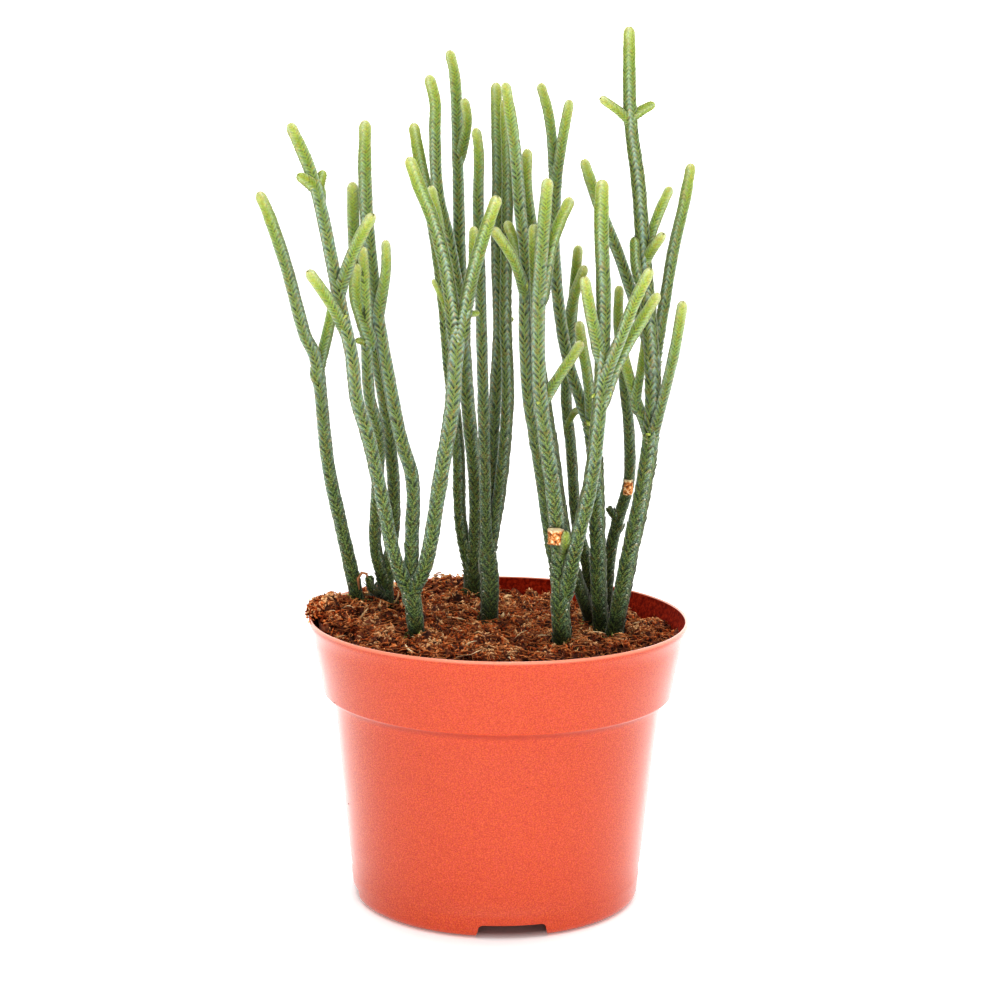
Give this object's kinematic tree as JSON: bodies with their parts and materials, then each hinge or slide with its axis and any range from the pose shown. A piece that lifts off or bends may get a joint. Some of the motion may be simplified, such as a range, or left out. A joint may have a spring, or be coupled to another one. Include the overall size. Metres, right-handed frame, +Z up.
{
  "type": "potted crassula",
  "caption": "Upright succulent with forked, scale-covered green stems, rooted in coir soil in a round, collared plastic nursery pot.",
  "frame": {"origin": "on the surface the pot stands on, at the middle of the whole plant's bounding box seen from above; the pot's own axis is 8.1 mm towards +X", "axes": "+Z up along the stems, -Y the front as pictured, +X to its right"},
  "size_m": [0.1359, 0.12, 0.273],
  "materials": {
    "pot_plastic": "satin",
    "coir_soil": "matte",
    "crassula_green": "satin"
  },
  "bodies": {
    "root": {"pot": "pot_plastic", "soil": "coir_soil", "stem_far_left": "crassula_green", "stem_front_left": "crassula_green", "stem_left_back": "crassula_green", "stem_back_centre": "crassula_green", "stem_centre": "crassula_green", "stem_front_right": "crassula_green", "stem_behind_front_right": "crassula_green", "stem_right_middle": "crassula_green", "stem_right_rear": "crassula_green", "stem_right_tall": "crassula_green", "stem_right_cut": "crassula_green"}
  },
  "joints": []
}
